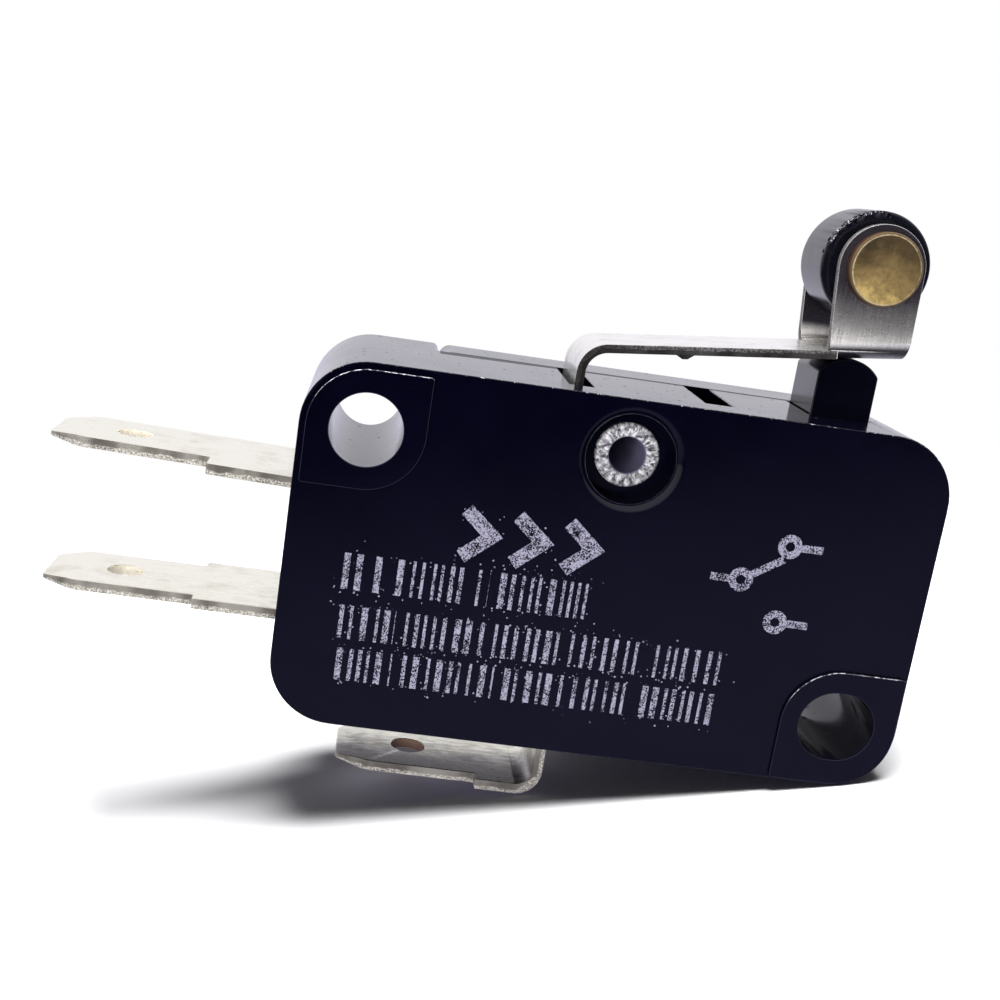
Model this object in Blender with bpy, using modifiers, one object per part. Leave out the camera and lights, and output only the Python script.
"""Miniature snap-action limit switch with a hinge roller lever.

Millimetre values are named below and turned into metres by MM. The origin is the centre of the rear
mounting face, +X runs along the body towards the roller, +Z is the plunger's side, and the front face
looks along -Y.
"""
import math

import bmesh
import bpy
from mathutils import Matrix, Vector

MM = 0.001

# Body
BODY_LENGTH = 27.8
BODY_HEIGHT = 15.9
CORNER_RADIUS = 2.8
FRONT_Y = -10.1            # main front face
PAD_Y = -10.3              # raised pads round the mounting holes
PARTING_Y = -3.0           # rear edge of the case
PARTING_GAP = 0.06
WALL = 1.1
FRONT_WALL = 1.0
COVER_WALL = 1.0
HOLE_X = 11.1
HOLE_Z = 5.15
HOLE_RADIUS = 1.55
SLOT_STRETCH = 0.15        # the lower right hole is longer by this much to each side
BOSS_RADIUS = 2.6          # material round a mounting hole
BOSS_GAP = 0.08
PAD_RADIUS = 2.52
NOTCH_RADIUS = 0.3         # rounded corners where boss and cover meet at the skin

# Hollow rivet
RIVET_X, RIVET_Z = 0.08, 5.35
RIVET_BOSS = 2.9
RIVET_BORE = 0.78
RIVET_TUBE = 1.08
RIVET_FLANGE = 1.4
RIVET_FLANGE_THICK = 0.3
RIVET_HOLE = 1.15
SINK_RADIUS = 1.95         # counterbore in the front face
SINK_RIM = 2.23
SINK_FLOOR_Y = -8.5
REAR_SINK_Y = -0.9

# Slots in the top face
SLOT_FLOOR_Z = 5.95
SLOT_FRONT_Y = -8.2
LEVER_SLOT_X = (-2.75, -1.35)
SPARE_SLOT_X = (2.95, 4.2)
SLOT_BLOCK_X = (-3.6, 5.0)

# Lever
LEVER_PIVOT = (-2.3, 6.75)
LEVER_ANGLE = 6.45         # slope of the plate at rest
LEVER_UNDERSIDE = (6.14, 10.24)
LEVER_THICK = 0.38
LEVER_BEND = 1.15
LEVER_Y = (-7.6, -3.12)
LEVER_FOOT_Z = 6.3
LUG_Y = (-8.55, -2.35)
LUG_HALF_HEIGHT = 0.25
LUG_POCKET_X = (-2.75, -2.0)
LUG_POCKET_Z = (6.35, 7.2)
LUG_CLEARANCE = 0.2        # beyond the ends of the lugs
FORK_THICK = 0.4
FORK_START_X = 8.6         # the strip ends inside the fork
FORK_Y = (-7.7, -2.6)
FORK_BEND = 0.45
EAR_RADIUS = 1.88
EAR_LEAN = 5.0
ROLLER_CENTRE = (9.7, 14.57)
ROLLER_RADIUS = 2.4
ROLLER_BORE = 0.88
ROLLER_Y = (-6.8, -3.5)
PIN_RADIUS = 0.8
PIN_HEAD = 1.575
PIN_FRONT_Y = -8.27
PIN_HEAD_THICK = 0.5
PIN_TAIL = 1.15
PIN_TAIL_THICK = 0.4
RUNNING_GAP = 0.05

# Plunger
PLUNGER_X = 9.48
PLUNGER_Y = -5.15
PLUNGER_HALF = (1.345, 1.725)
PLUNGER_CROWN = 1.7
PLUNGER_SHOULDER = (2.1, 2.15)     # half sizes of the collar under the top wall
COLLAR_DEPTH = 1.1
FOOT_RADIUS = 0.8
FOOT_HALF_Y = 1.2
PLUNGER_CLEARANCE = 0.13

# Contacts and terminals
SHEET = 0.5                # terminal sheet
TAB_HALF = 2.375           # half of a 4.75 mm push-on tab
TAB_CHAMFER = (1.5, 0.75)  # at the tip's corners, along and across the tab
TAB_LEAD = 1.2             # length over which the tip thins to TAB_TIP
TAB_TIP = 0.22
TAB_HOLE = 0.8
TAB_HOLE_FROM_TIP = 3.37
TERMINAL_END_X = -6.2      # inner ends of the two contact terminals
NC_WIDE_Y = (-8.8, -2.55)
NO_WIDE_Y = (-8.1, -2.1)
COM_WIDE_Y = (-8.2, -2.1)
NC_TAB_SHIFT = 0.125       # the upper tab sits a little further back than the lower one
CONTACT_X = -8.0
CONTACT_RADIUS = 1.5
CONTACT_HEAD = 0.8
CONTACT_SHANK = 0.7
MOVING_RADIUS = 1.4
MOVING_DOME = 0.25
CONTACT_GAP = 0.05
NC_UNDERSIDE = 1.97
NC_RISE = 1.6              # degrees the outer half of the tab is bent up
NC_TIP_X = -24.6
NC_STEP_X = -17.6
NO_TOP = -3.67
NO_JOGGLE = 1.1
NO_TIP_X = -24.45
NO_STEP_X = -17.7
COM_LEG_X = -1.35
COM_TAB_Z = -10.75
COM_BEND = 0.95
COM_TIP_X = -10.55
COM_STEP_X = -4.1
COM_TOP_Z = 2.1

# Snap mechanism
BLADE_PIVOT = (-1.68, -0.05)
BLADE_THICK = 0.3
BLADE_LENGTH = 8.2
BLADE_HALF = 1.95
SPRING_SEAT = (-4.2, 0.3)          # on the blade, from its pivot
ARM_PIVOT = (-0.85, 1.4)
ARM_THICK = 0.3
ARM_HALF = 1.95
ARM_TIP = 11.0
ARM_SLOPE = 8.6            # degrees at rest
SPRING_ANCHOR = (5.45, -1.9)       # on the arm, from its pivot
SPRING_RADIUS = 0.48
SPRING_WIRE = 0.11
SPRING_TURNS = 16
SPRING_HOOK = 0.44

ARC_STEP = math.radians(15)
WELD = 1e-6
ROUND_STEPS = 32


# ---------------------------------------------------------------- materials
def material(name, colour, roughness, metallic=0.0):
    made = bpy.data.materials.new(name)
    made.use_nodes = True
    shader = made.node_tree.nodes["Principled BSDF"]
    shader.inputs["Base Color"].default_value = (*colour, 1)
    shader.inputs["Roughness"].default_value = roughness
    shader.inputs["Metallic"].default_value = metallic
    return made


def clear_scene():
    for item in list(bpy.data.objects):
        bpy.data.objects.remove(item, do_unlink=True)


def new_collection(name):
    made = bpy.data.collections.new(name)
    bpy.context.scene.collection.children.link(made)
    return made


clear_scene()
PARTS = new_collection("limit_switch")
CUTTERS = new_collection("cutters")
BLACK_PLASTIC = material("black_plastic", (0.010, 0.011, 0.022), 0.2)
ROLLER_PLASTIC = material("roller_plastic", (0.012, 0.012, 0.02), 0.25)
STAINLESS = material("stainless", (0.56, 0.55, 0.53), 0.3, 1.0)
TINNED = material("tinned_brass", (0.68, 0.67, 0.63), 0.35, 1.0)
BRASS = material("brass", (0.62, 0.43, 0.16), 0.3, 1.0)
SILVER = material("contact_silver", (0.8, 0.79, 0.76), 0.3, 1.0)
SPRING_STEEL = material("spring_steel", (0.5, 0.5, 0.5), 0.3, 1.0)
COPPER = material("blade_copper", (0.6, 0.34, 0.22), 0.3, 1.0)


# ---------------------------------------------------------------- outlines
def rounded(corners, closed=True):
    """Points of a path through (u, v, radius) corners, with an arc at each corner that has a radius."""
    points = []
    last = len(corners) - 1
    for index, (u, v, radius) in enumerate(corners):
        here = Vector((u, v))
        if radius == 0 or (not closed and index in (0, last)):
            points.append(here)
            continue
        back = (Vector(corners[index - 1][:2]) - here).normalized()
        ahead = (Vector(corners[(index + 1) % len(corners)][:2]) - here).normalized()
        half = back.angle(ahead) / 2
        centre = here + (back + ahead).normalized() * (radius / math.sin(half))
        first = here + back * (radius / math.tan(half)) - centre
        final = here + ahead * (radius / math.tan(half)) - centre
        start = math.atan2(first.y, first.x)
        turn = (math.atan2(final.y, final.x) - start + math.pi) % math.tau - math.pi
        steps = max(2, round(abs(turn) / ARC_STEP))
        for step in range(steps + 1):
            angle = start + turn * step / steps
            points.append(centre + radius * Vector((math.cos(angle), math.sin(angle))))
    return [p for i, p in enumerate(points) if (p - points[i - 1]).length > WELD / MM]


def strip(corners, thickness, lead=0.0, tip=0.0):
    """Closed outline of a bent strip whose middle line runs through (u, v, radius) corners.

    With a lead, the strip thins to tip over that length at its far end.
    """
    line = rounded(corners, closed=False)
    if lead:
        line.insert(-1, line[-1] + (line[-2] - line[-1]).normalized() * lead)
    runs = [(b - a).normalized() for a, b in zip(line, line[1:])]
    runs = [runs[0], *runs, runs[-1]]
    left, right = [], []
    for point, before, after in zip(line, runs, runs[1:]):
        along = (before + after).normalized()
        here = tip if lead and point == line[-1] else thickness
        offset = Vector((-along.y, along.x)) * (here / 2 / along.dot(after))
        left.append(point + offset)
        right.append(point - offset)
    return left + right[::-1]


def point_mirror(corners):
    return corners + [(-u, -v, radius) for u, v, radius in corners]


# ---------------------------------------------------------------- solids
# Outline (u, v) becomes (Y, Z), (X, Z) or (X, Y) for a slab whose thickness runs along X, Y or Z.
TURNS = {
    "X": Matrix(((0, 0, 1), (1, 0, 0), (0, 1, 0))),
    "Y": Matrix(((1, 0, 0), (0, 0, -1), (0, 1, 0))),
    "Z": Matrix.Identity(3),
}
DIRECTIONS = {"X": Vector((1, 0, 0)), "Y": Vector((0, 1, 0)), "Z": Vector((0, 0, 1))}


def add_object(name, mesh, look):
    """A part when it has a look, and a hidden cutter when it has none."""
    made = bpy.data.objects.new(name, mesh)
    if look is None:
        CUTTERS.objects.link(made)
        made.hide_render = True
        made.display_type = "WIRE"
    else:
        PARTS.objects.link(made)
        mesh.materials.clear()
        mesh.materials.append(look)
    return made


def slab(name, outline, axis, span, look=None):
    """A flat outline given thickness between two heights along an axis."""
    curve = bpy.data.curves.new(name, "CURVE")
    curve.dimensions = "2D"
    curve.fill_mode = "BOTH"
    curve.extrude = (max(span) - min(span)) / 2 * MM
    spline = curve.splines.new("POLY")
    spline.points.add(len(outline) - 1)
    for point, (u, v) in zip(spline.points, outline):
        point.co = (u * MM, v * MM, 0, 1)
    spline.use_cyclic_u = True
    guide = bpy.data.objects.new(name + "_outline", curve)
    CUTTERS.objects.link(guide)
    guide.matrix_world = Matrix.Translation(DIRECTIONS[axis] * sum(span) / 2 * MM) @ TURNS[axis].to_4x4()
    bpy.context.view_layer.update()
    mesh = bpy.data.meshes.new_from_object(guide.evaluated_get(bpy.context.evaluated_depsgraph_get()))
    mesh.transform(guide.matrix_world)
    bpy.data.objects.remove(guide, do_unlink=True)
    welded(mesh)
    return add_object(name, mesh, look)


def welded(mesh):
    work = bmesh.new()
    work.from_mesh(mesh)
    bmesh.ops.remove_doubles(work, verts=work.verts, dist=WELD)
    bmesh.ops.recalc_face_normals(work, faces=work.faces)
    work.to_mesh(mesh)
    work.free()


def box(name, x, y, z, look=None):
    """A cube primitive stretched between three pairs of limits."""
    mesh = bpy.data.meshes.new(name)
    work = bmesh.new()
    bmesh.ops.create_cube(work, size=1)
    work.to_mesh(mesh)
    work.free()
    size = [(max(pair) - min(pair)) * MM for pair in (x, y, z)]
    middle = [sum(pair) / 2 * MM for pair in (x, y, z)]
    mesh.transform(Matrix.Translation(middle) @ Matrix.Diagonal((*size, 1)))
    return add_object(name, mesh, look)


def turned(name, profile, x, z, look=None, steps=ROUND_STEPS):
    """A profile of (radius, Y) points turned round the line through (x, z) parallel to Y."""
    mesh = bpy.data.meshes.new(name)
    ring = profile[0][0] > 0
    verts = [(radius * MM, 0, -y * MM) for radius, y in profile]
    edges = [(i, i + 1) for i in range(len(verts) - 1)]
    if ring:
        edges.append((len(verts) - 1, 0))
    mesh.from_pydata(verts, edges, [])
    made = add_object(name, mesh, look)
    made.location = (x * MM, 0, z * MM)
    made.rotation_euler = (math.pi / 2, 0, 0)
    screw = made.modifiers.new("turned", "SCREW")
    screw.axis = "Z"
    screw.steps = screw.render_steps = steps
    screw.use_merge_vertices = True
    screw.merge_threshold = WELD
    screw.use_smooth_shade = True
    return made


def bore(name, x, z, radius, span):
    """A round cutter parallel to Y."""
    front, rear = span
    return turned(name, [(0, front), (radius, front), (radius, rear), (0, rear)], x, z)


def apply_boolean(target, tool, operation):
    step = target.modifiers.new(tool.name, "BOOLEAN")
    step.operation = operation
    step.solver = "EXACT"
    step.object = tool
    tool.parent = target
    tool.matrix_parent_inverse = target.matrix_basis.inverted()


def cut(target, *tools):
    for tool in tools:
        apply_boolean(target, tool, "DIFFERENCE")


def join(target, *tools):
    for tool in tools:
        apply_boolean(target, tool, "UNION")


def keep_inside(target, tool):
    apply_boolean(target, tool, "INTERSECT")


def move_origin(target, point):
    """Put an object's origin on its joint, without moving its shape or its cutters."""
    shift = Vector(point) * MM
    target.data.transform(Matrix.Translation(-shift))
    target.location = shift
    for child in target.children:
        child.matrix_parent_inverse = Matrix.Translation(-shift)


def place(target, x, z, y=0.0, slope=0.0):
    """Set down a piece that was built round its own pivot; slope lifts its +X end, in degrees."""
    target.location = (x * MM, y * MM, z * MM)
    target.rotation_euler = (0, -math.radians(slope), 0)


# ---------------------------------------------------------------- housing
BODY_X = BODY_LENGTH / 2
BODY_Z = BODY_HEIGHT / 2
INNER_X = BODY_X - WALL
INNER_Z = BODY_Z - WALL
BOSS_X = HOLE_X - BOSS_RADIUS
BOSS_Z = HOLE_Z - BOSS_RADIUS


def body_outline():
    return rounded(point_mirror([(-BODY_X, BODY_Z, CORNER_RADIUS), (BODY_X, BODY_Z, CORNER_RADIUS)]))


def cover_room_outline():
    """Everything behind the parting line except the corner blocks round the two mounting holes."""
    over, flare, far = 0.005, NOTCH_RADIUS + 0.1, 20
    return rounded(point_mirror([
        (-BOSS_X, BODY_Z + over, NOTCH_RADIUS),
        (-BOSS_X - flare, BODY_Z + over, 0),
        (-BOSS_X - flare, far, 0),
        (far, far, 0),
        (far, -BOSS_Z - flare, 0),
        (BODY_X + over, -BOSS_Z - flare, 0),
        (BODY_X + over, -BOSS_Z, NOTCH_RADIUS),
        (BOSS_X, -BOSS_Z, BOSS_RADIUS),
    ]))


def pad_outline(side):
    """Raised pad: round towards the corner and the middle of the body, square at its other corners."""
    inset = 0.28 if side < 0 else 0.12
    low, high = HOLE_X - PAD_RADIUS, BODY_X - inset
    floor, top = HOLE_Z - PAD_RADIUS, BODY_Z - inset
    corners = [
        (high, -top, PAD_RADIUS),
        (low, -top, 0.15),
        (low, -floor, PAD_RADIUS),
        (high, -floor, 0.15),
    ]
    return rounded([(u * side, v * side, radius) for u, v, radius in corners])


def cavity_outline(rim):
    """Inner wall; rim is the extra material left round the mounting bosses and under the slot block."""
    left, low = BOSS_X - rim, BOSS_Z - rim
    block_left, block_right = SLOT_BLOCK_X
    return rounded([
        (-left, INNER_Z, 0.3),
        (block_left, INNER_Z, 0.3),
        (block_left, RIVET_Z, 0),
        (RIVET_X - RIVET_BOSS, RIVET_Z, 0),
        (RIVET_X - RIVET_BOSS, RIVET_Z - RIVET_BOSS, RIVET_BOSS),
        (RIVET_X + RIVET_BOSS, RIVET_Z - RIVET_BOSS, RIVET_BOSS),
        (RIVET_X + RIVET_BOSS, RIVET_Z, 0),
        (block_right, RIVET_Z, 0),
        (block_right, INNER_Z, 0.3),
        (INNER_X, INNER_Z, CORNER_RADIUS - WALL),
        (INNER_X, -low, 0.3),
        (left, -low, BOSS_RADIUS + rim),
        (left, -INNER_Z, 0.3),
        (-INNER_X, -INNER_Z, CORNER_RADIUS - WALL),
        (-INNER_X, low, 0.3),
        (-left, low, BOSS_RADIUS + rim),
    ])


def mounting_hole(side, stretch=0.0):
    """Through hole of the upper left (-1) or lower right (1) corner, lengthened along X by stretch each way."""
    x, z = side * HOLE_X, -side * HOLE_Z
    long = HOLE_RADIUS + stretch
    outline = rounded([
        (x - long, z - HOLE_RADIUS, HOLE_RADIUS),
        (x + long, z - HOLE_RADIUS, HOLE_RADIUS),
        (x + long, z + HOLE_RADIUS, HOLE_RADIUS),
        (x - long, z + HOLE_RADIUS, HOLE_RADIUS),
    ])
    return slab("mounting_hole", outline, "Y", (PAD_Y - 0.1, 0.2))


def terminal_slots(y_span):
    """The three openings that the terminals pass through, between two depths."""
    gap = 0.09
    nc = box("nc_slot", (-BODY_X - 1, -INNER_X + 1), y_span, (NC_UNDERSIDE - gap, NC_UNDERSIDE + SHEET + gap))
    no = box("no_slot", (-BODY_X - 1, -INNER_X + 1), y_span, (NO_TOP - SHEET - gap, NO_TOP + gap))
    reach = SHEET / 2 + gap
    com = box("com_slot", (COM_LEG_X - reach, COM_LEG_X + reach), y_span, (-BODY_Z - 1, -INNER_Z + 0.5))
    return nc, no, com


def make_case():
    case = slab("case", body_outline(), "Y", (FRONT_Y, 0), BLACK_PLASTIC)
    for side in (-1, 1):
        join(case, slab("pad", pad_outline(side), "Y", (PAD_Y, FRONT_Y + 0.3)))
    cut(case, slab("cover_room", cover_room_outline(), "Y", (PARTING_Y, 1)))
    cut(case, slab("cavity", cavity_outline(0.05), "Y", (FRONT_Y + FRONT_WALL, PARTING_Y + 0.2)))
    for slot in (LEVER_SLOT_X, SPARE_SLOT_X):
        cut(case, box("top_slot", slot, (SLOT_FRONT_Y, PARTING_Y + 0.2), (SLOT_FLOOR_Z, BODY_Z + 1)))
    cut(case, box("lug_pocket", LUG_POCKET_X, (LUG_Y[0] - LUG_CLEARANCE, SLOT_FRONT_Y + 0.5), LUG_POCKET_Z))
    cut(case, mounting_hole(-1), mounting_hole(1, SLOT_STRETCH))
    sink = [
        (0, FRONT_Y - 0.1),
        (SINK_RIM + 0.1, FRONT_Y - 0.1),
        (SINK_RADIUS, FRONT_Y + SINK_RIM - SINK_RADIUS),
        (SINK_RADIUS, SINK_FLOOR_Y),
        (RIVET_HOLE, SINK_FLOOR_Y),
        (RIVET_HOLE, PARTING_Y + 0.2),
        (0, PARTING_Y + 0.2),
    ]
    cut(case, turned("rivet_sink", sink, RIVET_X, RIVET_Z))
    half_x, half_y = (half + PLUNGER_CLEARANCE for half in PLUNGER_HALF)
    cut(case, box(
        "plunger_hole",
        (PLUNGER_X - half_x, PLUNGER_X + half_x),
        (PLUNGER_Y - half_y, PLUNGER_Y + half_y),
        (INNER_Z - 0.5, BODY_Z + 1),
    ))
    cut(case, *terminal_slots((-8.95, PARTING_Y + 0.2)))
    return case


def cover_outline():
    left, low = BOSS_X - BOSS_GAP, BOSS_Z - BOSS_GAP
    return rounded(point_mirror([
        (-left, BODY_Z, NOTCH_RADIUS),
        (BODY_X, BODY_Z, CORNER_RADIUS),
        (BODY_X, -low, NOTCH_RADIUS),
        (left, -low, BOSS_RADIUS + BOSS_GAP),
    ]))


def make_cover():
    front = PARTING_Y + PARTING_GAP
    cover = slab("cover", cover_outline(), "Y", (front, 0), BLACK_PLASTIC)
    cut(cover, slab("cover_cavity", cavity_outline(0.9), "Y", (front - 0.2, -COVER_WALL)))
    cut(cover, bore("cover_rivet_hole", RIVET_X, RIVET_Z, RIVET_HOLE, (front - 0.2, 0.2)))
    cut(cover, bore("cover_sink", RIVET_X, RIVET_Z, SINK_RADIUS, (REAR_SINK_Y, 0.2)))
    cut(cover, box("cover_lug_pocket", LUG_POCKET_X, (front - 0.2, LUG_Y[1] + LUG_CLEARANCE), LUG_POCKET_Z))
    cut(cover, *terminal_slots((front - 0.2, -1.9)))
    return cover


def make_hollow_rivet():
    """A tube with a flat flange in front and a rolled-over rim at the rear."""
    front = SINK_FLOOR_Y - RUNNING_GAP
    rear = REAR_SINK_Y + RUNNING_GAP
    lip = 0.12
    profile = [
        (RIVET_BORE + lip, front - RIVET_FLANGE_THICK),
        (RIVET_FLANGE - lip, front - RIVET_FLANGE_THICK),
        (RIVET_FLANGE, front - RIVET_FLANGE_THICK + lip),
        (RIVET_FLANGE, front),
        (RIVET_TUBE, front),
        (RIVET_TUBE, rear),
        (RIVET_FLANGE + 0.1, rear),
        (RIVET_FLANGE, rear + 0.25),
        (RIVET_TUBE, rear + 0.4),
        (RIVET_BORE + lip, rear + 0.3),
        (RIVET_BORE, rear + 0.1),
        (RIVET_BORE, front - RIVET_FLANGE_THICK + lip),
    ]
    return turned("hollow_rivet", profile, RIVET_X, RIVET_Z, TINNED)


# ---------------------------------------------------------------- lever, roller and plunger
def plate_normal():
    angle = math.radians(LEVER_ANGLE)
    return Vector((-math.sin(angle), math.cos(angle)))


def plate_middle(x):
    """Point of the lever plate's middle surface at a given x."""
    start = Vector(LEVER_UNDERSIDE) + plate_normal() * (LEVER_THICK / 2)
    return Vector((x, start.y + (x - start.x) * math.tan(math.radians(LEVER_ANGLE))))


def ear_outline():
    """Round-topped ear that leans back from the plate's free end."""
    lean = math.radians(EAR_LEAN)
    right = Vector((math.cos(lean), math.sin(lean)))
    up = Vector((-math.sin(lean), math.cos(lean)))
    centre = Vector(ROLLER_CENTRE)
    corners = [
        (-EAR_RADIUS, -5, 0),
        (EAR_RADIUS, -5, 0),
        (EAR_RADIUS, EAR_RADIUS, EAR_RADIUS),
        (-EAR_RADIUS, EAR_RADIUS, EAR_RADIUS),
    ]
    return [centre + right * u + up * v for u, v in rounded(corners)]


def make_lever():
    pivot_x, pivot_z = LEVER_PIVOT
    start = plate_middle(pivot_x)
    end = plate_middle(ROLLER_CENTRE[0])
    free = plate_middle(FORK_START_X)
    line = [(pivot_x, LEVER_FOOT_Z, 0), (start.x, start.y, LEVER_BEND), (free.x, free.y, 0)]
    lever = slab("lever", strip(line, LEVER_THICK), "Y", LEVER_Y, STAINLESS)

    front, rear = (edge + offset for edge, offset in zip(FORK_Y, (FORK_THICK / 2, -FORK_THICK / 2)))
    bend = FORK_BEND + FORK_THICK / 2
    trough = slab(
        "fork", strip([(front, 8, 0), (front, 0, bend), (rear, 0, bend), (rear, 8, 0)], FORK_THICK), "X", (-4, 4)
    )
    trough.data.transform(Matrix.Rotation(-math.radians(LEVER_ANGLE), 4, "Y"))
    trough.data.transform(Matrix.Translation((end.x * MM, 0, end.y * MM)))
    keep_inside(trough, slab("ear", ear_outline(), "Y", (FORK_Y[0] - 1, FORK_Y[1] + 1)))
    join(lever, trough)

    half = LEVER_THICK / 2
    lugs = (pivot_z - LUG_HALF_HEIGHT, pivot_z + LUG_HALF_HEIGHT)
    join(lever, box("lugs", (pivot_x - half + 0.01, pivot_x + half - 0.01), LUG_Y, lugs))
    cut(lever, bore("pin_hole", *ROLLER_CENTRE, PIN_RADIUS + RUNNING_GAP, (FORK_Y[0] - 1, FORK_Y[1] + 1)))
    move_origin(lever, (pivot_x, 0, pivot_z))
    return lever


def make_roller():
    front, rear = ROLLER_Y
    chamfer = 0.12
    profile = [
        (ROLLER_BORE, front),
        (ROLLER_RADIUS - chamfer, front),
        (ROLLER_RADIUS, front + chamfer),
        (ROLLER_RADIUS, rear - chamfer),
        (ROLLER_RADIUS - chamfer, rear),
        (ROLLER_BORE, rear),
    ]
    return turned("roller", profile, *ROLLER_CENTRE, ROLLER_PLASTIC, 48)


def make_roller_pin():
    head = FORK_Y[0] - RUNNING_GAP
    tail = FORK_Y[1] + RUNNING_GAP
    bevel = 0.1
    profile = [
        (0, PIN_FRONT_Y),
        (PIN_HEAD - bevel, PIN_FRONT_Y),
        (PIN_HEAD, PIN_FRONT_Y + bevel),
        (PIN_HEAD, head),
        (PIN_RADIUS, head),
        (PIN_RADIUS, tail),
        (PIN_TAIL, tail),
        (PIN_TAIL, tail + PIN_TAIL_THICK / 2),
        (PIN_TAIL / 2, tail + PIN_TAIL_THICK),
        (0, tail + PIN_TAIL_THICK),
    ]
    return turned("roller_pin", profile, *ROLLER_CENTRE, BRASS)


def crown_centre():
    """Height of the plunger crown's centre that leaves the running gap under the lever plate."""
    normal = plate_normal()
    reach = (Vector(LEVER_UNDERSIDE) - Vector((PLUNGER_X, 0))).dot(normal)
    return (reach - PLUNGER_CROWN - RUNNING_GAP) / normal.y


def foot_centre():
    """Height of the plunger foot's centre that leaves the running gap above the arm."""
    slope = math.radians(ARM_SLOPE)
    reach = ARM_THICK / 2 + FOOT_RADIUS + RUNNING_GAP
    run = PLUNGER_X - ARM_PIVOT[0]
    return ARM_PIVOT[1] + (reach + run * math.sin(slope)) / math.cos(slope)


def make_plunger():
    half_x, half_y = PLUNGER_HALF
    crown = crown_centre()
    foot = foot_centre()
    ceiling = INNER_Z - 0.1
    rise = math.sqrt(PLUNGER_CROWN**2 - half_x**2)
    spread = math.asin(half_x / PLUNGER_CROWN)
    steps = 12
    outline = []
    for step in range(steps + 1):
        angle = spread * (1 - 2 * step / steps)
        outline.append((math.sin(angle) * PLUNGER_CROWN, crown + math.cos(angle) * PLUNGER_CROWN))
    outline[0] = (half_x, crown + rise)
    outline[-1] = (-half_x, crown + rise)
    outline += [(-half_x, ceiling - 0.2), (half_x, ceiling - 0.2)]
    plunger = slab("plunger", [Vector(p) for p in outline], "Y", (-half_y, half_y), BLACK_PLASTIC)
    wide_x, wide_y = PLUNGER_SHOULDER
    join(plunger, box("collar", (-wide_x, wide_x), (-wide_y, wide_y), (ceiling - COLLAR_DEPTH, ceiling)))
    nose = rounded([
        (-FOOT_RADIUS, ceiling - 0.5, 0),
        (-FOOT_RADIUS, foot - FOOT_RADIUS, FOOT_RADIUS),
        (FOOT_RADIUS, foot - FOOT_RADIUS, FOOT_RADIUS),
        (FOOT_RADIUS, ceiling - 0.5, 0),
    ])
    join(plunger, slab("foot", nose, "Y", (-FOOT_HALF_Y, FOOT_HALF_Y)))
    place(plunger, PLUNGER_X, 0, PLUNGER_Y)
    return plunger


# ---------------------------------------------------------------- terminals
def tab_plan(tip, step, inner, tab, wide):
    """Plan of a terminal: chamfered tip, narrow tab, then the wide part up to its inner end."""
    along, across = TAB_CHAMFER
    return [Vector(p) for p in (
        (tip, tab[0] + across),
        (tip + along, tab[0]),
        (step, tab[0]),
        (step, wide[0]),
        (inner, wide[0]),
        (inner, wide[1]),
        (step, wide[1]),
        (step, tab[1]),
        (tip + along, tab[1]),
        (tip, tab[1] - across),
    )]


def stamped(name, line, plan, z_span):
    """A bent strip seen from the front, trimmed to its plan seen from above."""
    made = slab(name, strip(line, SHEET, TAB_LEAD, TAB_TIP), "Y", (-9.5, -1.5), TINNED)
    keep_inside(made, slab(name + "_plan", plan, "Z", z_span))
    return made


def upright_hole(name, x, y, radius, z_span):
    hole = slab(name, rounded([
        (x - radius, y - radius, radius), (x + radius, y - radius, radius),
        (x + radius, y + radius, radius), (x - radius, y + radius, radius),
    ]), "Z", z_span)
    return hole


def make_nc_terminal():
    middle = NC_UNDERSIDE + SHEET / 2
    rise = (-BODY_X - NC_TIP_X) * math.tan(math.radians(NC_RISE))
    line = [(TERMINAL_END_X, middle, 0), (-BODY_X, middle, 3), (NC_TIP_X, middle + rise, 0)]
    tab_y = PLUNGER_Y + NC_TAB_SHIFT
    plan = tab_plan(NC_TIP_X, NC_STEP_X, TERMINAL_END_X, (tab_y - TAB_HALF, tab_y + TAB_HALF), NC_WIDE_Y)
    made = stamped("nc_terminal", line, plan, (0, 5))
    cut(made, box("nc_relief", (-INNER_X + 0.3, 0), (PARTING_Y - 0.1, 0), (0, 5)))
    cut(made, upright_hole("nc_tab_hole", NC_TIP_X + TAB_HOLE_FROM_TIP, tab_y, TAB_HOLE, (0, 5)))
    cut(made, upright_hole("nc_rivet_seat", CONTACT_X, PLUNGER_Y, CONTACT_SHANK + RUNNING_GAP, (0, 5)))
    return made


def make_no_terminal():
    middle = NO_TOP - SHEET / 2
    line = [
        (TERMINAL_END_X, middle + NO_JOGGLE, 0),
        (-10.4, middle + NO_JOGGLE, 0.8),
        (-11.6, middle, 0.8),
        (NO_TIP_X, middle, 0),
    ]
    tab_y = (PLUNGER_Y - TAB_HALF, PLUNGER_Y + TAB_HALF)
    plan = tab_plan(NO_TIP_X, NO_STEP_X, TERMINAL_END_X, tab_y, NO_WIDE_Y)
    made = stamped("no_terminal", line, plan, (-6, 0))
    cut(made, upright_hole("no_tab_hole", NO_TIP_X + TAB_HOLE_FROM_TIP, PLUNGER_Y, TAB_HOLE, (-6, 0)))
    cut(made, upright_hole("no_rivet_seat", CONTACT_X, PLUNGER_Y, CONTACT_SHANK + RUNNING_GAP, (-6, 0)))
    return made


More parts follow.
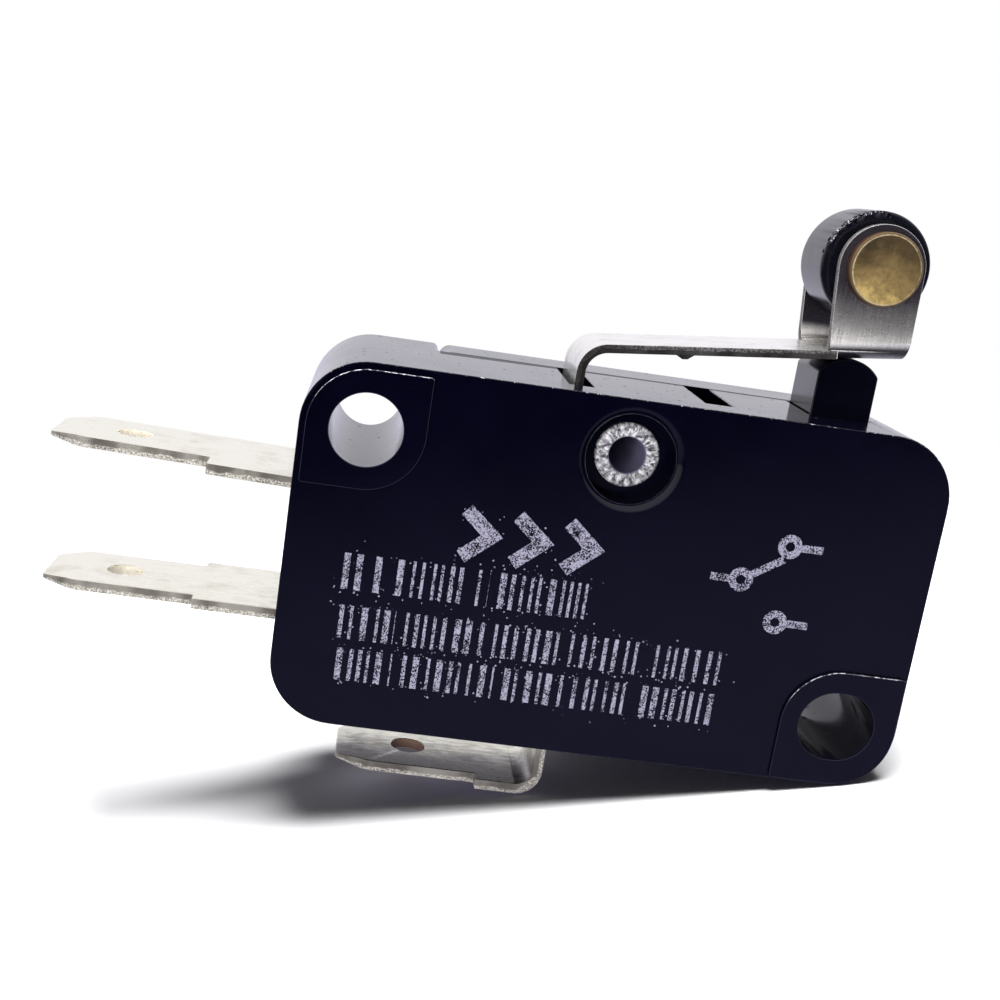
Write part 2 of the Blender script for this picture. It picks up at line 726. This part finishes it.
def make_common_terminal():
    line = [(COM_LEG_X, COM_TOP_Z, 0), (COM_LEG_X, COM_TAB_Z, COM_BEND), (COM_TIP_X, COM_TAB_Z, 0)]
    tab_y = (PLUNGER_Y - TAB_HALF, PLUNGER_Y + TAB_HALF)
    plan = tab_plan(COM_TIP_X, COM_STEP_X, COM_LEG_X + 1, tab_y, COM_WIDE_Y)
    made = stamped("common_terminal", line, plan, (-12, 4))
    post = (PLUNGER_Y - 2.05, PLUNGER_Y + 2.05)
    side_x = (COM_LEG_X - 1, COM_LEG_X + 1)
    cut(made, box("post_front", side_x, (-10, post[0]), (-INNER_Z + 0.2, COM_TOP_Z + 1)))
    cut(made, box("post_rear", side_x, (post[1], 0), (-INNER_Z + 0.2, COM_TOP_Z + 1)))
    cut(made, box("post_window", side_x, (PLUNGER_Y - 0.95, PLUNGER_Y + 0.95), (-1.35, 1.17)))
    cut(made, upright_hole("com_tab_hole", COM_TIP_X + TAB_HOLE_FROM_TIP, PLUNGER_Y, TAB_HOLE, (-12, -10)))
    return made


# ---------------------------------------------------------------- contacts and snap mechanism
def upright_turned(name, profile, look):
    """A profile of (radius, height) points turned round +Z, about the local origin."""
    made = turned(name, [(radius, -height) for radius, height in profile], 0, 0, look)
    made.rotation_euler = (0, 0, 0)
    made.location = (0, 0, 0)
    return made


def fixed_contact(name, face_z, back_z, look=SILVER):
    """Contact rivet: flat head below or above its terminal, shank through the seat, peened on the back."""
    away = 1 if back_z > face_z else -1
    head = back_z - away * (SHEET + RUNNING_GAP)
    tail = back_z + away * RUNNING_GAP
    profile = [
        (0, face_z),
        (CONTACT_RADIUS - 0.1, face_z),
        (CONTACT_RADIUS, face_z + away * 0.1),
        (CONTACT_RADIUS, head),
        (CONTACT_SHANK, head),
        (CONTACT_SHANK, tail),
        (CONTACT_SHANK + 0.25, tail),
        (CONTACT_SHANK, tail + away * 0.12),
        (0, tail + away * 0.12),
    ]
    if away > 0:
        profile.reverse()
    made = upright_turned(name, profile, look)
    made.location = (CONTACT_X * MM, PLUNGER_Y * MM, 0)
    return made


def dome_profile():
    """Half profile of the moving contact's crowned head, rim to middle."""
    curve = (MOVING_RADIUS**2 + MOVING_DOME**2) / (2 * MOVING_DOME)
    top = BLADE_THICK / 2 + CONTACT_HEAD
    spread = math.asin(MOVING_RADIUS / curve)
    steps = 4
    points = []
    for step in range(steps + 1):
        angle = spread * (1 - step / steps)
        points.append((curve * math.sin(angle), top - curve + curve * math.cos(angle)))
    points[-1] = (0, top)
    return points


def blade_angle(face_z, above):
    """Slope that brings the crowned contact to within the contact gap of a face above or below it."""
    curve = (MOVING_RADIUS**2 + MOVING_DOME**2) / (2 * MOVING_DOME)
    offset = BLADE_THICK / 2 + CONTACT_HEAD - curve
    sign = 1 if above else -1
    height = sign * (face_z - BLADE_PIVOT[1]) - CONTACT_GAP - curve
    run = BLADE_PIVOT[0] - CONTACT_X
    radius = math.hypot(run, offset)
    return sign * (math.asin(height / radius) - math.atan2(offset, run))


NC_FACE = NC_UNDERSIDE - CONTACT_HEAD
NO_FACE = NO_TOP + NO_JOGGLE + CONTACT_HEAD
BLADE_REST = blade_angle(NC_FACE, above=True)


def make_blade():
    pivot_x, pivot_z = BLADE_PIVOT
    contact = CONTACT_X - pivot_x
    outline = rounded([
        (0, -BLADE_HALF, 0), (0, BLADE_HALF, 0), (-4.6, BLADE_HALF, 1),
        (-BLADE_LENGTH, 1.75, 1.2), (-BLADE_LENGTH, -1.75, 1.2), (-4.6, -BLADE_HALF, 1),
    ])
    blade = slab("blade", outline, "Z", (-BLADE_THICK / 2, BLADE_THICK / 2), COPPER)
    seat_x = SPRING_SEAT[0]
    cut(blade, box("blade_fork", (seat_x + 0.55, 1), (-0.95, 0.95), (-1, 1)))
    cut(blade, upright_hole("hook_hole", seat_x - SPRING_HOOK, 0, 0.3, (-1, 1)))
    cut(blade, upright_hole("contact_seat", contact, 0, CONTACT_SHANK + RUNNING_GAP, (-1, 1)))
    rim = dome_profile()
    gap = BLADE_THICK / 2 + RUNNING_GAP
    half = [*rim[::-1], (MOVING_RADIUS, gap), (CONTACT_SHANK, gap)]
    profile = half + [(radius, -height) for radius, height in half[::-1]]
    rivet = upright_turned("moving_contact", profile, SILVER)
    rivet.parent = blade
    rivet.location = (contact * MM, 0, 0)
    place(blade, pivot_x, pivot_z, PLUNGER_Y, -math.degrees(BLADE_REST))
    return blade


def make_actuating_arm():
    outline = rounded([
        (-0.15, -ARM_HALF, 0), (4.2, -ARM_HALF, 0.5), (5.4, -1.3, 0.5), (ARM_TIP, -1.3, 0.6),
        (ARM_TIP, 1.3, 0.6), (5.4, 1.3, 0.5), (4.2, ARM_HALF, 0.5), (-0.15, ARM_HALF, 0),
    ])
    arm = slab("actuating_arm", outline, "Z", (-ARM_THICK / 2, ARM_THICK / 2), STAINLESS)
    x, z = SPRING_ANCHOR
    join(arm, box("spring_tab", (x - 0.15, x + 0.15), (-0.8, 0.8), (z - 0.6, 0)))
    hole = slab("anchor_hole", rounded([
        (-0.3, z - 0.3, 0.3), (0.3, z - 0.3, 0.3), (0.3, z + 0.3, 0.3), (-0.3, z + 0.3, 0.3),
    ]), "X", (x - 1, x + 1))
    cut(arm, hole)
    place(arm, *ARM_PIVOT, PLUNGER_Y, ARM_SLOPE)
    return arm


def spring_ends():
    """Where the spring hooks on to the blade and to the arm, at rest."""
    seat = Matrix.Rotation(-BLADE_REST, 2) @ Vector(SPRING_SEAT) + Vector(BLADE_PIVOT)
    anchor = Matrix.Rotation(math.radians(ARM_SLOPE), 2) @ Vector(SPRING_ANCHOR) + Vector(ARM_PIVOT)
    return seat, anchor


def make_snap_spring():
    seat, anchor = spring_ends()
    length = (anchor - seat).length
    lead, coil_end = 1.1, length - 1.2
    tip = length + SPRING_HOOK
    points = [(-SPRING_HOOK, 0, -0.6), (-SPRING_HOOK, 0, -0.12), (0.12 - SPRING_HOOK, 0, 0), (lead - 0.25, 0, 0)]
    per_turn = 10
    total = SPRING_TURNS * per_turn
    for step in range(total + 1):
        angle = math.tau * step / per_turn
        x = lead + (coil_end - lead) * step / total
        points.append((x, SPRING_RADIUS * math.sin(angle), SPRING_RADIUS * math.cos(angle)))
    points += [(coil_end + 0.25, 0, 0), (tip - 0.12, 0, 0), (tip, 0, -0.12), (tip, 0, -0.6)]
    curve = bpy.data.curves.new("snap_spring", "CURVE")
    curve.dimensions = "3D"
    curve.bevel_depth = SPRING_WIRE * MM
    curve.bevel_resolution = 2
    curve.use_fill_caps = True
    spline = curve.splines.new("POLY")
    spline.points.add(len(points) - 1)
    for point, place_at in zip(spline.points, points):
        point.co = (*(value * MM for value in place_at), 1)
    curve.materials.append(SPRING_STEEL)
    spring = bpy.data.objects.new("snap_spring", curve)
    PARTS.objects.link(spring)
    run = anchor - seat
    place(spring, seat.x, seat.y, PLUNGER_Y, math.degrees(math.atan2(run.y, run.x)))
    return spring


make_case()
make_cover()
make_hollow_rivet()
make_lever()
make_roller()
make_roller_pin()
make_plunger()
make_nc_terminal()
make_no_terminal()
make_common_terminal()
fixed_contact("nc_contact", NC_FACE, NC_UNDERSIDE + SHEET)
fixed_contact("no_contact", NO_FACE, NO_TOP + NO_JOGGLE - SHEET)
make_blade()
make_actuating_arm()
make_snap_spring()
